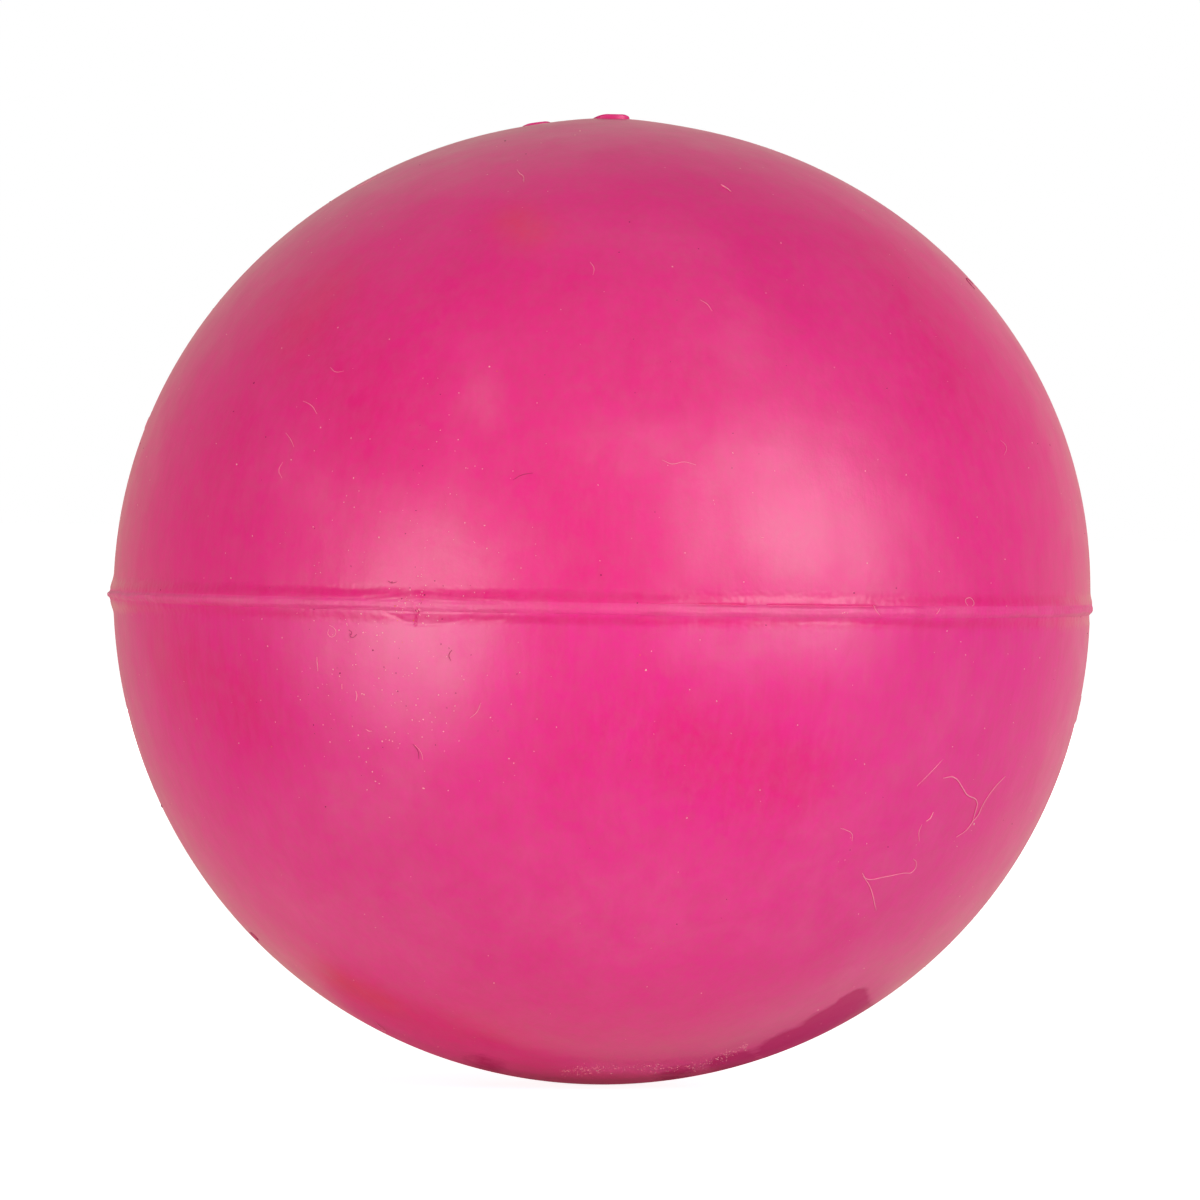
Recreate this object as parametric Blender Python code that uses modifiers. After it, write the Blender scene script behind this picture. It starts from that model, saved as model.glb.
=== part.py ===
"""A hollow rubber ball: two moulded half shells bonded round the middle, with a self-sealing plug inside.

Lengths are in metres. The seam lies in the plane z = 0, and the poles lie on the Z axis.
"""

import math

import bpy

# Driving dimensions of the outside
SEAM_RADIUS = 0.0300  # both halves where they meet, without their lips
UPPER_RISE = 0.02956  # seam plane to the upper pole
LOWER_RISE = 0.02966  # seam plane to the lower pole
FLATTENING_POWER = 3.0  # the higher, the nearer to its pole a half starts to flatten
UPPER_SWELL = 0.00013  # the upper half stands this far proud of a plain round line above the seam
LOWER_SWELL = -0.00005  # and the lower half lies this far inside one
SWELL_POWER = 5.0  # the higher, the nearer to the seam the swell peaks
LIP_RISE = 0.00012  # how far a half flares out at its rim, where the mould met
LIP_WIDTH = 0.00080  # height of that flare
RIDGE_HEIGHT = 0.00032  # crest of the ridge, out from SEAM_RADIUS

# Wall and bond
WALL = 0.0050
RING_THICKNESS = 0.00070  # the strip of rubber between the two rims, which is cured onto both
RING_BEAD = 0.00040  # how far the strip was squeezed out into the hollow

# The plug that the ball is inflated through, inside the lower pole
PLUG_RADIUS = 0.0040
PLUG_LENGTH = 0.0042
PLUG_CHAMFER = 0.0004
SKIN_UNDER_PLUG = 0.0032  # rubber between the pocket's floor and the outside
CEMENT_FILM = 0.0003  # left free all round the plug and under the patch, which are cemented in
BOSS_WALL = 0.0025
BOSS_DRAFT = 0.0006  # how much wider the boss is at its root
PATCH_THICKNESS = 0.0008
PATCH_SKIVE = 0.0008  # width of the bevel cut round the patch
PATCH_SETBACK = 0.0004  # the patch's edge, in from the boss's edge

# Plain raised pads that the mould leaves near the upper pole
PAD_LENGTH = 0.0021
PAD_WIDTH = 0.0014
PAD_HEIGHT = 0.00030
PAD_ROOT = 0.0008  # how deep a pad runs into the wall that it is one with
PAD_ROUNDING = 0.00012
PAD_PLACES = ((0.00022, -0.0006), (-0.00434, 0.0026))  # x and y of each pad's middle

# How finely round shapes are cut and places are found
TURN_STEPS = 64
OUTER_STEPS = 16
INNER_STEPS = 9
LIP_STEPS = 3
BEAD_STEPS = 6
PAD_SIDES = 20
PAD_ROUNDING_STEPS = 2
HALVINGS = 50
MERGE = 0.00001

# Each face of a half, as its radius at the seam, its rise to the pole and its swell
UPPER_OUTSIDE = (SEAM_RADIUS, UPPER_RISE, UPPER_SWELL)
UPPER_INSIDE = (SEAM_RADIUS - WALL, UPPER_RISE - WALL, UPPER_SWELL)
LOWER_OUTSIDE = (SEAM_RADIUS, LOWER_RISE, LOWER_SWELL)
LOWER_INSIDE = (SEAM_RADIUS - WALL, LOWER_RISE - WALL, LOWER_SWELL)

# Places that follow from the sizes above
RIM_HEIGHT = RING_THICKNESS / 2
POCKET_RADIUS = PLUG_RADIUS + CEMENT_FILM
BOSS_RADIUS = POCKET_RADIUS + BOSS_WALL
POCKET_FLOOR = -LOWER_RISE + SKIN_UNDER_PLUG
PLUG_BOTTOM = POCKET_FLOOR + CEMENT_FILM
PLUG_TOP = PLUG_BOTTOM + PLUG_LENGTH
PATCH_BOTTOM = PLUG_TOP + CEMENT_FILM


def clear_scene():
    for old in list(bpy.data.objects):
        bpy.data.objects.remove(old, do_unlink=True)


def new_collection(name):
    collection = bpy.data.collections.new(name)
    bpy.context.scene.collection.children.link(collection)
    return collection


def rubber(name, colour, roughness):
    """A material for moulded or sheet rubber, from a linear colour."""
    material = bpy.data.materials.new(name)
    material.use_nodes = True
    material.diffuse_color = (*colour, 1.0)
    shader = material.node_tree.nodes["Principled BSDF"]
    shader.inputs["Base Color"].default_value = (*colour, 1.0)
    shader.inputs["Roughness"].default_value = roughness
    shader.inputs["Metallic"].default_value = 0.0
    return material


def swell_share(latitude):
    """How much of the swell shows at a latitude: none at the seam or the pole, and 1 at its peak."""
    peak = math.atan(1 / math.sqrt(SWELL_POWER))
    shape = math.sin(latitude) * math.cos(latitude) ** SWELL_POWER
    return shape / (math.sin(peak) * math.cos(peak) ** SWELL_POWER)


def face_point(latitude, face):
    """(distance from the axis, height above the seam plane) on one face of a half."""
    at_seam, rise, swell = face
    flattening = (at_seam - rise) * math.sin(latitude) ** FLATTENING_POWER
    radius = at_seam - flattening + swell * swell_share(latitude)
    return radius * math.cos(latitude), radius * math.sin(latitude)


def latitude_where(passed, face):
    """The latitude on a face from which passed(distance, height) holds, found by halving."""
    low, high = 0.0, math.pi / 2
    for _ in range(HALVINGS):
        middle = (low + high) / 2
        if passed(*face_point(middle, face)):
            high = middle
        else:
            low = middle
    return low


def latitude_at_height(wanted, face):
    return latitude_where(lambda distance, height: height >= wanted, face)


def latitude_at_distance(wanted, face):
    """For a distance well inside the seam's, where the face only nears the axis."""
    return latitude_where(lambda distance, height: distance <= wanted, face)


def face_points(face, first, last, steps):
    """Points on a face from one latitude to another, both ends with them."""
    return [face_point(first + (last - first) * step / steps, face) for step in range(steps + 1)]


def outer_profile(face):
    """The outside of a half, from its pole down to the flared lip at its rim."""
    lip_root = latitude_at_height(RIM_HEIGHT + LIP_WIDTH, face)
    dome = face_points(face, math.pi / 2, lip_root, OUTER_STEPS)
    lip = []
    for step in range(1, LIP_STEPS + 1):
        share = step / LIP_STEPS
        height = RIM_HEIGHT + LIP_WIDTH * (1 - share)
        distance = face_point(latitude_at_height(height, face), face)[0]
        lip.append((distance + LIP_RISE * share**2, height))
    return dome + lip


def inner_profile(face, last):
    """The inside of a half, from its rim up to the last latitude."""
    return face_points(face, latitude_at_height(RIM_HEIGHT, face), last, INNER_STEPS)


def bead_profile(foot, reach):
    """Half an ellipse from the ring's top to its bottom, which stands out from foot by reach."""
    points = []
    for step in range(BEAD_STEPS + 1):
        angle = math.pi / 2 - math.pi * step / BEAD_STEPS
        points.append((foot + reach * math.cos(angle), RIM_HEIGHT * math.sin(angle)))
    return points


def turned(name, profile, collection, material):
    """A solid turned about Z from a profile of (distance, height) points, which runs down its outer side."""
    edges = [(start, start + 1) for start in range(len(profile) - 1)]
    if min(profile[0][0], profile[-1][0]) > MERGE:
        edges.append((len(profile) - 1, 0))
    mesh = bpy.data.meshes.new(name)
    mesh.from_pydata([(distance, 0.0, height) for distance, height in profile], edges, [])
    mesh.materials.append(material)
    piece = bpy.data.objects.new(name, mesh)
    collection.objects.link(piece)
    turn = piece.modifiers.new("Turn", "SCREW")
    turn.angle = math.tau
    turn.steps = TURN_STEPS
    turn.render_steps = TURN_STEPS
    turn.use_merge_vertices = True
    turn.merge_threshold = MERGE
    turn.use_smooth_shade = True
    return piece


def raised_pad(name, place, collection):
    """An oval pad that stands square to the upper half's outside, for a Boolean to join on."""
    latitude = latitude_at_distance(math.hypot(*place), UPPER_OUTSIDE)
    height = face_point(latitude, UPPER_OUTSIDE)[1]
    bearing = math.atan2(place[1], place[0])
    lean = math.pi / 2 - latitude
    middle = (PAD_HEIGHT - PAD_ROOT) / 2
    bpy.ops.mesh.primitive_cylinder_add(vertices=PAD_SIDES, radius=0.5, depth=PAD_HEIGHT + PAD_ROOT)
    pad = bpy.context.object
    pad.name = name
    pad.scale = (PAD_LENGTH, PAD_WIDTH, 1.0)
    bpy.ops.object.transform_apply(scale=True)
    rounding = pad.modifiers.new("Rounding", "BEVEL")
    rounding.width = PAD_ROUNDING
    rounding.segments = PAD_ROUNDING_STEPS
    pad.rotation_mode = "AXIS_ANGLE"
    pad.rotation_axis_angle = (lean, -math.sin(bearing), math.cos(bearing), 0.0)
    pad.location = (
        place[0] + middle * math.sin(lean) * math.cos(bearing),
        place[1] + middle * math.sin(lean) * math.sin(bearing),
        height + middle * math.cos(lean),
    )
    for old in pad.users_collection:
        old.objects.unlink(pad)
    collection.objects.link(pad)
    pad.hide_render = True
    pad.display_type = "WIRE"
    return pad


def upper_half_shell(collection, joined_shapes, material):
    """A plain cup with the raised pads on its crown."""
    profile = outer_profile(UPPER_OUTSIDE) + inner_profile(UPPER_INSIDE, math.pi / 2)
    shell = turned("upper_half_shell", profile, collection, material)
    for number, place in enumerate(PAD_PLACES, start=1):
        join = shell.modifiers.new(f"Join pad {number}", "BOOLEAN")
        join.operation = "UNION"
        join.solver = "EXACT"
        join.object = raised_pad(f"raised_pad_{number}", place, joined_shapes)


def lower_half_shell(collection, material):
    """A cup with the plug's boss and pocket, drawn pole up like the other half and then turned over."""
    boss_root = latitude_at_distance(BOSS_RADIUS + BOSS_DRAFT, LOWER_INSIDE)
    boss = [
        (BOSS_RADIUS, -PLUG_TOP),
        (POCKET_RADIUS, -PLUG_TOP),
        (POCKET_RADIUS, -POCKET_FLOOR),
        (0.0, -POCKET_FLOOR),
    ]
    profile = outer_profile(LOWER_OUTSIDE) + inner_profile(LOWER_INSIDE, boss_root) + boss
    turned_over = [(distance, -height) for distance, height in reversed(profile)]
    turned("lower_half_shell", turned_over, collection, material)


def bonding_ring(collection, material):
    """The strip between the rims, with the ridge round the ball outside and a bead in the hollow."""
    outer = bead_profile(SEAM_RADIUS, RIDGE_HEIGHT)
    inner = bead_profile(SEAM_RADIUS - WALL, -RING_BEAD)
    turned("bonding_ring", outer + inner[::-1], collection, material)


def sealing_plug(collection, material):
    """The soft plug that closes behind the inflating needle."""
    profile = [
        (0.0, PLUG_TOP),
        (PLUG_RADIUS - PLUG_CHAMFER, PLUG_TOP),
        (PLUG_RADIUS, PLUG_TOP - PLUG_CHAMFER),
        (PLUG_RADIUS, PLUG_BOTTOM + PLUG_CHAMFER),
        (PLUG_RADIUS - PLUG_CHAMFER, PLUG_BOTTOM),
        (0.0, PLUG_BOTTOM),
    ]
    turned("sealing_plug", profile, collection, material)


def plug_patch(collection, material):
    """The disc of sheet rubber over boss and plug, which keeps the plug in its pocket."""
    edge = BOSS_RADIUS - PATCH_SETBACK
    top = PATCH_BOTTOM + PATCH_THICKNESS
    profile = [(0.0, top), (edge - PATCH_SKIVE, top), (edge, PATCH_BOTTOM), (0.0, PATCH_BOTTOM)]
    turned("plug_patch", profile, collection, material)


def main():
    clear_scene()
    ball = new_collection("Rubber ball")
    joined_shapes = new_collection("Shapes joined to the ball")
    upper_half_shell(ball, joined_shapes, rubber("Upper pink rubber", (0.80, 0.042, 0.225), 0.42))
    lower_half_shell(ball, rubber("Lower pink rubber", (0.79, 0.041, 0.220), 0.42))
    bonding_ring(ball, rubber("Pink bonding rubber", (0.83, 0.055, 0.255), 0.48))
    sealing_plug(ball, rubber("Soft tan gum rubber", (0.62, 0.47, 0.30), 0.65))
    plug_patch(ball, rubber("Black sheet rubber", (0.055, 0.050, 0.048), 0.70))


main()
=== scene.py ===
# %% [markdown]
# # A hollow rubber play ball
#
# This lesson dresses a small pink rubber ball. The real one is two moulded half shells, bonded
# rim to rim by a strip of raw rubber that squeezed out and cured as a ridge. The frame that is
# loaded first is its measured model: it has the right sizes, but its faces are coarse and plain.
# Each visible piece is modelled again here at the same place, with the unevenness of a moulded,
# trimmed and handled toy. All lengths are in metres, with the seam in the plane z = 0.

# %% Load the frame
import math

import bpy
import numpy as np
from mathutils import Matrix, Vector, noise
from mathutils.bvhtree import BVHTree


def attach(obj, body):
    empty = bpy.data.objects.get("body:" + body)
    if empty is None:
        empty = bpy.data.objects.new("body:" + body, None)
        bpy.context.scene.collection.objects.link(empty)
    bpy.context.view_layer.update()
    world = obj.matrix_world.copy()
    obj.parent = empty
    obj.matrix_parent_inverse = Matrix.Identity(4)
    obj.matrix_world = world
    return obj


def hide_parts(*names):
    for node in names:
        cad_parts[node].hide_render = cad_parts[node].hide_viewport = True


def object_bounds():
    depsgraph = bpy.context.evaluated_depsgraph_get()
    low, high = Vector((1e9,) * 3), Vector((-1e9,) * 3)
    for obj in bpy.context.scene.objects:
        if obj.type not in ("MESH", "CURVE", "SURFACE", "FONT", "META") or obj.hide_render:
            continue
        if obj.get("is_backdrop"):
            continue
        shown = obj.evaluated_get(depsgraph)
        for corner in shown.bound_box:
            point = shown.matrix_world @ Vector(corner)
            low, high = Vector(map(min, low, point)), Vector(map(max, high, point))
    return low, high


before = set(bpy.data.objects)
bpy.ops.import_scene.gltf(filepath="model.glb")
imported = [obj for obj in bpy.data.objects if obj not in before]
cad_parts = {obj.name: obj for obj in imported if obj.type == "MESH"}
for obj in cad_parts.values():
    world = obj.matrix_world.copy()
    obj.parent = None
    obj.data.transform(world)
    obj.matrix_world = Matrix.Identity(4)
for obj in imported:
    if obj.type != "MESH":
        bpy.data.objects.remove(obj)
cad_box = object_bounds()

MM = 0.001
print("pieces in the frame:", ", ".join(sorted(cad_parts)))

# %% [markdown]
# ## The camera
#
# The photograph looks straight at the seam, a hair above it, with a long lens. A long lens from
# 0.8 m keeps the outline nearly as wide as the ball. The camera leans by 0.9 degrees, because
# the seam falls to the right. The same numbers also give the line of sight through any pixel of
# the photograph, which later puts small marks on the skin where the photograph has them.

# %% Camera
PICTURE = 1200  # pixels across the photograph
BALL_PIXEL = (601.6, 601.6)  # where the photograph shows the middle of the ball
HALF_WIDTH = 488.5  # pixels from there to the skin at the seam
DISTANCE = 0.8
ABOVE_SEAM = math.radians(0.8)
LEAN = math.radians(0.9)
SENSOR = 36.0
SEAM_RADIUS = 0.0300

focal_pixels = HALF_WIDTH / math.tan(math.asin(SEAM_RADIUS / DISTANCE))
stand = Vector((0.0, -DISTANCE * math.cos(ABOVE_SEAM), DISTANCE * math.sin(ABOVE_SEAM)))
aim = Matrix.Rotation(math.pi / 2 - ABOVE_SEAM, 3, "X") @ Matrix.Rotation(LEAN, 3, "Z")
bpy.ops.object.camera_add(location=stand, rotation=aim.to_euler())
camera = bpy.context.object
camera.name = "front_camera"
camera.data.sensor_width = SENSOR
camera.data.lens = focal_pixels / PICTURE * SENSOR
camera.data.shift_x = (PICTURE / 2 - BALL_PIXEL[0]) / PICTURE
camera.data.shift_y = (BALL_PIXEL[1] - PICTURE / 2) / PICTURE
camera.data.clip_start = 0.05
camera.data.clip_end = 20.0
bpy.context.scene.camera = camera
print(f"lens {camera.data.lens:.1f} mm, at {tuple(round(c, 4) for c in stand)}")

# %% [markdown]
# ## The outline of the halves
#
# The ball isn't quite round. Each half is a little flat towards its pole, and the upper one
# swells slightly just above the seam. One formula gives the distance from the middle at each
# latitude. The frame's solids use the same one, so the new skins lie where the old ones do. The
# photograph also shows both halves pushed 0.17 mm to the right between seam and pole, as soft
# rubber sets when it is pulled from the mould, and a faint rise of the crown round the two pads.
# The new skins get both as well.

# %% Outline formula
UPPER_RISE = 0.02956
LOWER_RISE = 0.02966
FLATTENING_POWER = 3.0
UPPER_SWELL = 0.00013
LOWER_SWELL = -0.00005
SWELL_POWER = 5.0
WALL = 0.0050
RIM_HEIGHT = 0.00035

CROWN_RISE = 0.00014
CROWN_REACH = 0.11  # in radians from the pole

UPPER_OUTSIDE = (SEAM_RADIUS, UPPER_RISE, UPPER_SWELL, CROWN_RISE)
LOWER_OUTSIDE = (SEAM_RADIUS, LOWER_RISE, LOWER_SWELL, 0.0)
UPPER_INSIDE = (SEAM_RADIUS - WALL, UPPER_RISE - WALL, UPPER_SWELL, 0.0)
LOWER_INSIDE = (SEAM_RADIUS - WALL, LOWER_RISE - WALL, LOWER_SWELL, 0.0)


def bell(offset, width):
    """1 in the middle of a bell-shaped bump, and near 0 past twice its width."""
    return np.exp(-((offset / width) ** 2))


def face_radius(latitude, face):
    """Distance from the middle of the ball to a face of a half, at a latitude from 0 to 90 degrees."""
    at_seam, rise, swell, crown = face
    peak = math.atan(1 / math.sqrt(SWELL_POWER))
    share = np.sin(latitude) * np.cos(latitude) ** SWELL_POWER
    share = share / (math.sin(peak) * math.cos(peak) ** SWELL_POWER)
    flattened = at_seam - (at_seam - rise) * np.sin(latitude) ** FLATTENING_POWER
    return flattened + swell * share + crown * bell(math.pi / 2 - latitude, CROWN_REACH)


SWAY = 0.00017  # half way between seam and pole


def sway(height):
    """How far the skin is pushed to the right at a height above or below the seam."""
    share = np.clip(np.abs(height) / SEAM_RADIUS, 0, 1)
    return SWAY * 2 * share * np.sqrt(1 - share**2)


def skin_point(direction, lift=0.0):
    """The point of the outer skin in a direction from the middle, or one lifted above it."""
    direction = direction.normalized()
    face = UPPER_OUTSIDE if direction.z > 0 else LOWER_OUTSIDE
    radius = float(face_radius(math.asin(min(1.0, abs(direction.z))), face))
    point = direction * (radius + lift)
    return point + Vector((float(sway(direction.z * radius)), 0, 0))


def face_point(latitude, face):
    """(distance from the axis, height above the seam plane) on a face."""
    radius = float(face_radius(latitude, face))
    return radius * math.cos(latitude), radius * math.sin(latitude)


HALVINGS = 50


def latitude_at_height(wanted, face):
    """The latitude at which a face is this high, found by halving."""
    low, high = 0.0, math.pi / 2
    for _ in range(HALVINGS):
        middle = (low + high) / 2
        low, high = (middle, high) if face_point(middle, face)[1] < wanted else (low, middle)
    return low


print("upper pole at", UPPER_RISE, "lower pole at", -LOWER_RISE)

# %% [markdown]
# ## From a pixel to the skin
#
# A speck of dust or a scratch is easiest to place by its pixel in the photograph. The line of
# sight through that pixel is followed to the skin, so the mark lies on the ball from any side.

# %% Pixel to skin
SIGHT_STEPS = 8  # each brings the point nearer to the skin


def on_skin(pixel, lift=0.0):
    """The point of the outer skin that the photograph shows at a pixel, and lift above it."""
    across = (pixel[0] - BALL_PIXEL[0]) / focal_pixels
    down = (pixel[1] - BALL_PIXEL[1]) / focal_pixels
    sight = (aim @ Vector((across, -down, -1.0))).normalized()
    point = Vector((0, -SEAM_RADIUS, 0))
    for _ in range(SIGHT_STEPS):
        aside = Vector((float(sway(point.z)), 0, 0))
        eye = stand - aside
        nearest = -eye.dot(sight)
        miss = (eye + sight * nearest).length
        radius = (skin_point(point) - aside).length
        point = eye + sight * (nearest - math.sqrt(max(radius**2 - miss**2, 0.0)))
    return skin_point(point, lift)


def seam_place(pixel):
    """(azimuth, height) of a pixel near the seam. Azimuth is 0 at the front and grows to the right."""
    point = on_skin(pixel)
    return math.atan2(point.x, -point.y), point.z


print("the seam's front is", [round(v / MM, 3) for v in on_skin((602, 608))], "mm")

# %% [markdown]
# ## Unevenness
#
# Nothing on a moulded and hand-trimmed edge keeps one height. A few dozen cosine waves with
# fixed random phases make a wavy number that closes on itself after one turn round the ball.

# %% Waves round the seam
MOST_WAVES = 40
SEAM_PIXEL = (602, 600)  # where the photograph shows the seam's middle
SEAM_FALL = 0.0157  # how many pixels it falls for each pixel to the right


def wavy(azimuth, longest, shortest, seed):
    """A smooth uneven number of about -2 to 2 round the ball, with waves of these lengths in metres."""
    luck = np.random.RandomState(seed)
    turn = math.tau * SEAM_RADIUS
    counts = np.arange(max(1, round(turn / longest)), round(turn / shortest) + 1)
    if len(counts) > MOST_WAVES:
        counts = np.sort(luck.choice(counts, MOST_WAVES, replace=False))
    total = np.zeros_like(azimuth)
    for count in counts:
        total = total + luck.normal() * np.cos(count * azimuth + luck.uniform(0, math.tau))
    return total / math.sqrt(len(counts) / 2)


def round_the_seam(azimuth, table):
    """A number given at some pixels across the photograph, and at bearings in degrees for the back."""
    places = []
    for place, value in table:
        if isinstance(place, str):
            places.append((math.radians(float(place)), value))
        else:
            pixel = (place, SEAM_PIXEL[1] + (place - SEAM_PIXEL[0]) * SEAM_FALL)
            places.append((seam_place(pixel)[0], value))
    bearings, values = np.array(sorted(places)).T
    return np.interp(azimuth, bearings, values, period=math.tau)


def lumpy(places, size):
    """A smooth uneven number of about -1 to 1 at each place, with lumps of this size in metres."""
    return np.array([noise.noise(Vector(place) / size) for place in places])


sample = wavy(np.linspace(-math.pi, math.pi, 2000), 0.02, 0.004, 1)
print("a wave runs from", round(float(sample.min()), 2), "to", round(float(sample.max()), 2))

# %% [markdown]
# ## Turning a piece
#
# The halves and the ring are round, so each is drawn as half a cross-section and turned round the
# axis, as on a lathe. One point is extruded along the outline, and a Screw modifier turns the
# line once round. The Spin tool does the same, but is slow with the thousands of steps used here.

# %% Lathe
def select_only(pieces):
    """Selects these pieces and makes the first one active."""
    bpy.ops.object.select_all(action="DESELECT")
    for piece in pieces:
        piece.select_set(True)
    bpy.context.view_layer.objects.active = pieces[0]


MERGE_GAP = 1e-7
CORNER_ANGLE = math.radians(60)  # edges bent more than this stay sharp


def turned(name, outline, steps, closed=False):
    """A surface turned round the Z axis from (distance, height) points."""
    bpy.ops.mesh.primitive_plane_add(size=MM)
    piece = bpy.context.object
    piece.name = name
    bpy.ops.object.mode_set(mode="EDIT")
    bpy.ops.mesh.merge(type="CENTER")
    bpy.ops.transform.translate(value=(outline[0][0], 0.0, outline[0][1]))
    path = list(outline) + ([outline[0]] if closed else [])
    for start, end in zip(path, path[1:]):
        step = (end[0] - start[0], 0.0, end[1] - start[1])
        bpy.ops.mesh.extrude_vertices_move(TRANSFORM_OT_translate={"value": step})
    bpy.ops.mesh.select_all(action="SELECT")
    bpy.ops.mesh.remove_doubles(threshold=MERGE_GAP)
    bpy.ops.object.mode_set(mode="OBJECT")
    bpy.ops.object.modifier_add(type="SCREW")
    turn = piece.modifiers[0]
    turn.steps = turn.render_steps = steps
    turn.use_merge_vertices = True
    turn.merge_threshold = MERGE_GAP
    bpy.ops.object.modifier_apply(modifier=turn.name)
    bpy.ops.object.shade_smooth()
    return piece


def join_and_bridge(name, parts, rims):
    """One closed piece from turned parts. Each rim says where (radius, height, reach) edges meet."""
    select_only(parts)
    bpy.ops.object.join()
    piece = bpy.context.object
    piece.name = name
    for radius, height, reach in rims:
        bpy.ops.object.mode_set(mode="EDIT")
        bpy.ops.mesh.select_mode(type="EDGE")
        bpy.ops.mesh.select_all(action="SELECT")
        bpy.ops.mesh.region_to_loop()
        bpy.ops.object.mode_set(mode="OBJECT")
        points = piece.data.vertices
        for edge in piece.data.edges:
            ends = [points[index].co for index in edge.vertices]
            gaps = [math.hypot(math.hypot(end.x, end.y) - radius, end.z - height) for end in ends]
            edge.select = edge.select and max(gaps) < reach
        bpy.ops.object.mode_set(mode="EDIT")
        bpy.ops.mesh.bridge_edge_loops()
    bpy.ops.mesh.select_all(action="SELECT")
    bpy.ops.mesh.normals_make_consistent(inside=False)
    bpy.ops.mesh.select_mode(type="VERT")
    bpy.ops.object.mode_set(mode="OBJECT")
    return piece


def corners(piece):
    """The piece's vertices as an array, one row each."""
    places = np.zeros(len(piece.data.vertices) * 3)
    piece.data.vertices.foreach_get("co", places)
    return places.reshape(-1, 3)


def place_corners(piece, places):
    piece.data.vertices.foreach_set("co", places.ravel())
    piece.data.update()


def smooth_but_sharp_at_rims(piece):
    """Smooth shading that stops at the square corners, where a piece meets its neighbour."""
    select_only([piece])
    bpy.ops.object.shade_smooth_by_angle(angle=CORNER_ANGLE)


def show_count(piece):
    faces = sum(len(face.vertices) - 2 for face in piece.data.polygons)
    print(piece.name, "has", len(piece.data.vertices), "corners and", faces, "triangles")


# %% [markdown]
# ## The two half shells
#
# Each half is moulded as a cup with a wall of 5 mm. The dome needs few faces, but the last
# millimetre above the rim, where the rubber flares out to the ridge, needs many. So dome, band
# and inside are turned apart with 512, 2560 and 128 steps, and bridged edge to edge.

# %% Half shells
BAND = 0.00100  # height of the finely cut band beside the rim
BAND_LAP = 0.93  # the band starts a little below the dome's end, and the gap is bridged
DOME_RINGS, BAND_RINGS, INSIDE_RINGS, BOSS_RINGS = 84, 16, 30, 26
DOME_STEPS, BAND_STEPS, INSIDE_STEPS = 512, 2560, 128
BRIDGE_REACH = 0.15 * MM
POCKET_RADIUS = 0.0043
BOSS_RADIUS = 0.0068
BOSS_ROOT = 0.0074
POCKET_FLOOR = LOWER_RISE - 0.0032
BOSS_TOP = POCKET_FLOOR - 0.0045


def face_line(face, first, last, steps):
    """Points on a face from one latitude to another."""
    return [face_point(first + (last - first) * n / steps, face) for n in range(steps + 1)]


def half_shell(name, outside, inside, boss, side):
    """A closed cup. Its outlines are drawn pole up, and side = -1 turns them over."""
    dome_end = latitude_at_height(RIM_HEIGHT + BAND, outside)
    band_start = latitude_at_height(RIM_HEIGHT + BAND * BAND_LAP, outside)
    rim_out = latitude_at_height(RIM_HEIGHT, outside)
    rim_in = latitude_at_height(RIM_HEIGHT, inside)
    dome = face_line(outside, math.pi / 2, dome_end, DOME_RINGS)
    band = face_line(outside, band_start, rim_out, BAND_RINGS)
    if boss:
        boss_start = math.acos(BOSS_ROOT / float(face_radius(math.acos(BOSS_ROOT / inside[1]), inside)))
        hollow = face_line(inside, rim_in, boss_start, BOSS_RINGS) + list(boss)
    else:
        hollow = face_line(inside, rim_in, math.pi / 2, INSIDE_RINGS)
    lines = ((dome, DOME_STEPS), (band, BAND_STEPS), (hollow, INSIDE_STEPS))
    parts = [turned(name, [(r, side * z) for r, z in line], steps) for line, steps in lines]
    edge = face_point((dome_end + band_start) / 2, outside)
    across_rim = (band[-1][0] + hollow[0][0]) / 2
    rims = [(edge[0], side * edge[1], BRIDGE_REACH), (across_rim, side * RIM_HEIGHT, WALL * 0.52)]
    return join_and_bridge(name, parts, rims)


boss_outline = (
    (BOSS_RADIUS, BOSS_TOP),
    (POCKET_RADIUS, BOSS_TOP),
    (POCKET_RADIUS, POCKET_FLOOR),
    (0.0, POCKET_FLOOR),
)
upper_shell = half_shell("upper_shell_moulding", UPPER_OUTSIDE, UPPER_INSIDE, (), 1)
lower_shell = half_shell("lower_shell_moulding", LOWER_OUTSIDE, LOWER_INSIDE, boss_outline, -1)
show_count(upper_shell)
show_count(lower_shell)

# %% [markdown]
# ## The flare beside the seam
#
# Where the mould's two plates met, the rubber of each half flares out towards the ridge like the
# foot of a wave. From the front these slopes are the dark bands above and below the pale ridge.
# Their height and width change round the ball, and are read off the photograph in millimetres.

# %% Flare of the rims
FLARE_HEIGHT = {  # millimetres at each place, above the seam (1) and below it (-1)
    1: (
        (116, 0.17), (170, 0.17), (235, 0.20), (310, 0.19), (366, 0.19), (415, 0.23), (450, 0.22),
        (520, 0.24), (553, 0.26), (620, 0.25), (660, 0.20), (700, 0.10), (790, 0.06), (880, 0.07),
        (930, 0.14), (1000, 0.17), (1085, 0.09), ("120", 0.18), ("150", 0.11), ("180", 0.20),
        ("-150", 0.13), ("-120", 0.21),
    ),
    -1: (
        (116, 0.16), (200, 0.12), (300, 0.07), (390, 0.12), (470, 0.15), (553, 0.19), (640, 0.19),
        (700, 0.13), (760, 0.10), (880, 0.12), (930, 0.15), (1000, 0.08), (1085, -0.05), ("110", 0.04),
        ("135", 0.17), ("180", 0.12), ("-150", 0.19), ("-120", 0.13),
    ),
}
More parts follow.
